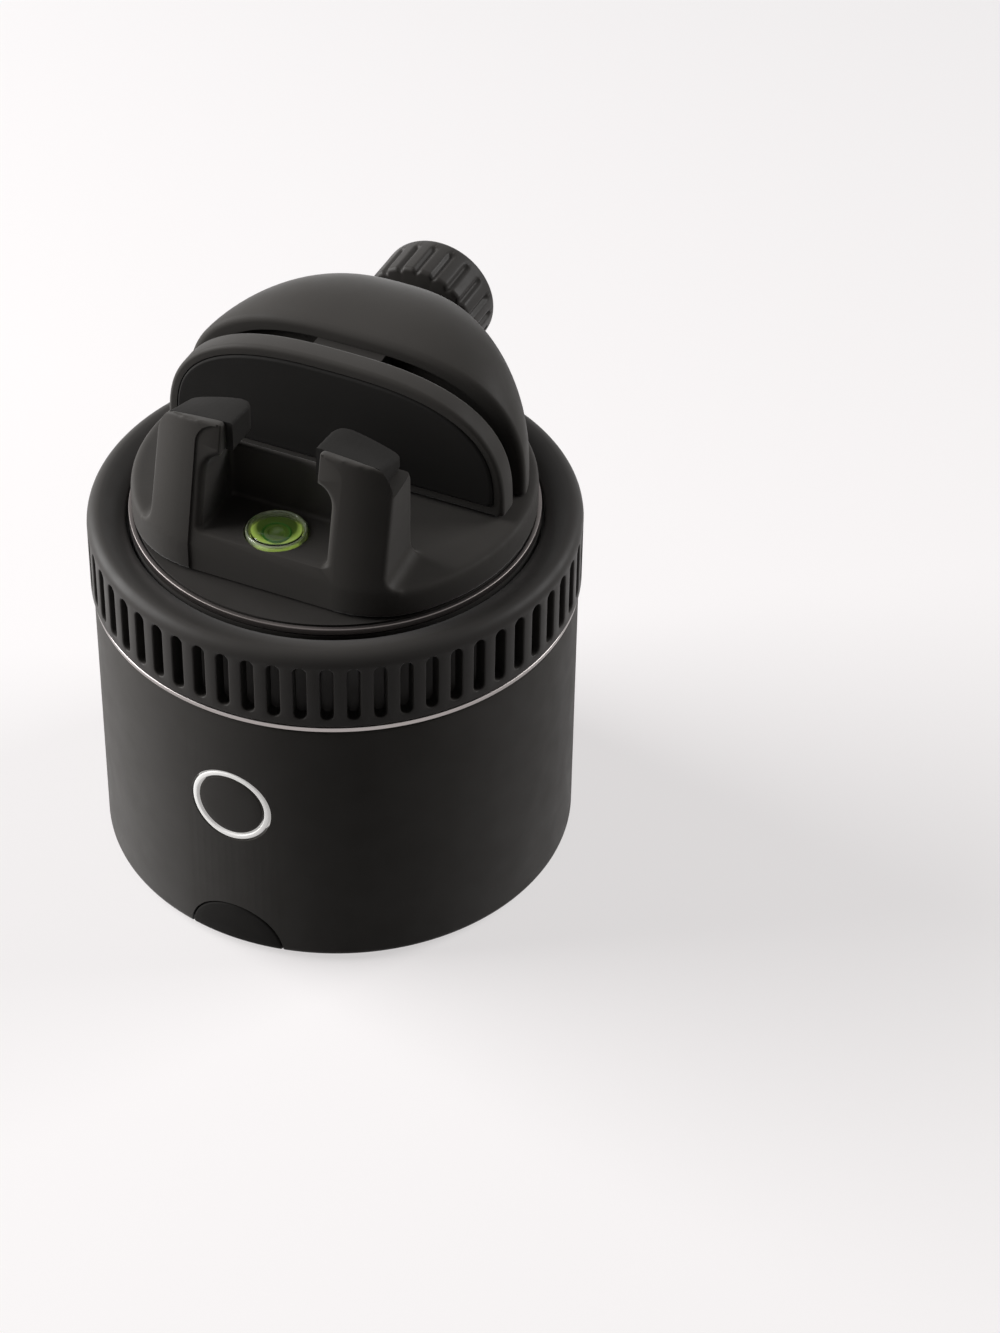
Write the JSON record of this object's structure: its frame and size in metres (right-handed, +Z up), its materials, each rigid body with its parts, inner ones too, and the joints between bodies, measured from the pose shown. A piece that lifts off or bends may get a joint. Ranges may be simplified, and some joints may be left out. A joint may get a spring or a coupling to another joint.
{
  "type": "auto-tracking phone mount",
  "caption": "Motorised round phone mount: a turning ribbed head with hooks, a bubble level and a screw-driven jaw on a fixed base with a tripod thread.",
  "frame": {"origin": "centre of the base's underside, on the pan axis, where the foot ring stands on the table", "axes": "+Z up along the pan axis; -Y is the front, with the power button, the hooks and the bubble level; +Y is the rear, with the clamp knob"},
  "size_m": [0.0708, 0.0708, 0.0833],
  "materials": {
    "soft_black": "soft-touch matte black plastic",
    "satin_black": "satin black plastic",
    "rubber_black": "matte black rubber",
    "silver": "bright silver trim",
    "light_white": "milky light-guide plastic",
    "brass": "turned brass",
    "steel": "plain steel",
    "board_green": "green circuit board",
    "battery_wrap": "shrink-wrapped cell",
    "gear_white": "natural moulded gear plastic",
    "level_green": "yellow-green level fluid",
    "clear": "clear moulded vial and its domed window"
  },
  "bodies": {
    "base": {"base_housing": "soft_black", "trim_ring": "silver", "light_ring": "light_white", "bottom_cover": "satin_black", "foot_ring": "rubber_black", "tripod_insert": "brass", "circuit_board": "board_green", "usb_socket": "steel", "battery_cell": "battery_wrap", "button_board": "board_green", "button_switch": "steel", "motor_body": "steel", "bearing_outer_race": "steel", "cover_screw_1": "steel", "cover_screw_2": "steel", "cover_screw_3": "steel", "motor_screw_1": "steel", "motor_screw_2": "steel"},
    "button": {"power_button": "soft_black"},
    "flap": {"port_cover": "rubber_black"},
    "rotor": {"motor_shaft": "steel", "drive_pinion": "brass"},
    "cage": {"bearing_cage": "brass"},
    "head": {"turret_ring": "satin_black", "head_plate": "satin_black", "head_trim_ring": "silver", "head_body": "soft_black", "hook_pad_left": "rubber_black", "hook_pad_right": "rubber_black", "level_cup": "clear", "level_liquid": "level_green", "level_lens": "clear", "dome_shell": "soft_black", "spindle": "steel", "drive_gear": "gear_white", "bearing_inner_race": "steel", "spindle_clip": "steel", "screw_bush": "brass", "head_screw_1": "steel", "head_screw_2": "steel", "head_screw_3": "steel", "dome_screw_1": "steel", "dome_screw_2": "steel", "dome_screw_3": "steel"},
    "jaw": {"pressure_plate": "soft_black", "plate_pad": "rubber_black", "plate_carriage": "satin_black", "lead_nut": "brass", "plate_screw_1": "steel", "plate_screw_2": "steel"},
    "knob": {"knob": "satin_black", "lead_screw": "steel", "screw_clip": "steel"}
  },
  "joints": [
    {"name": "head_spin", "type": "hinge", "parent": "base", "child": "head", "pos_m": [0, 0, 0.0434], "axis": [0, 0, 1], "continuous": true},
    {"name": "motor_spin", "type": "hinge", "parent": "base", "child": "rotor", "pos_m": [-0.022, 0, 0.0434], "axis": [0, 0, 1], "continuous": true},
    {"name": "cage_spin", "type": "hinge", "parent": "base", "child": "cage", "pos_m": [0, 0, 0.0409], "axis": [0, 0, 1], "continuous": true},
    {"name": "power_press", "type": "slide", "parent": "base", "child": "button", "axis": [0, 1, 0], "range_m": [0, 0.0004], "stiffness_N_per_m": 600, "springref_m": -0.0003},
    {"name": "port_flap", "type": "hinge", "parent": "base", "child": "flap", "pos_m": [0, -0.0338, 0.0013], "axis": [1, 0, 0], "range_deg": [0, 75]},
    {"name": "knob_turn", "type": "hinge", "parent": "head", "child": "knob", "pos_m": [0, 0.027, 0.0711], "axis": [0, 1, 0], "range_deg": [-360, 1260]},
    {"name": "plate_slide", "type": "slide", "parent": "head", "child": "jaw", "axis": [0, -1, 0], "range_m": [-0.002, 0.007]}
  ],
  "couplings": [
    {"joint": "motor_spin", "follows": "head_spin", "ratio": -3.2308},
    {"joint": "cage_spin", "follows": "head_spin", "ratio": 0.4418},
    {"joint": "knob_turn", "follows": "plate_slide", "rad_per_m": 3141.6}
  ]
}
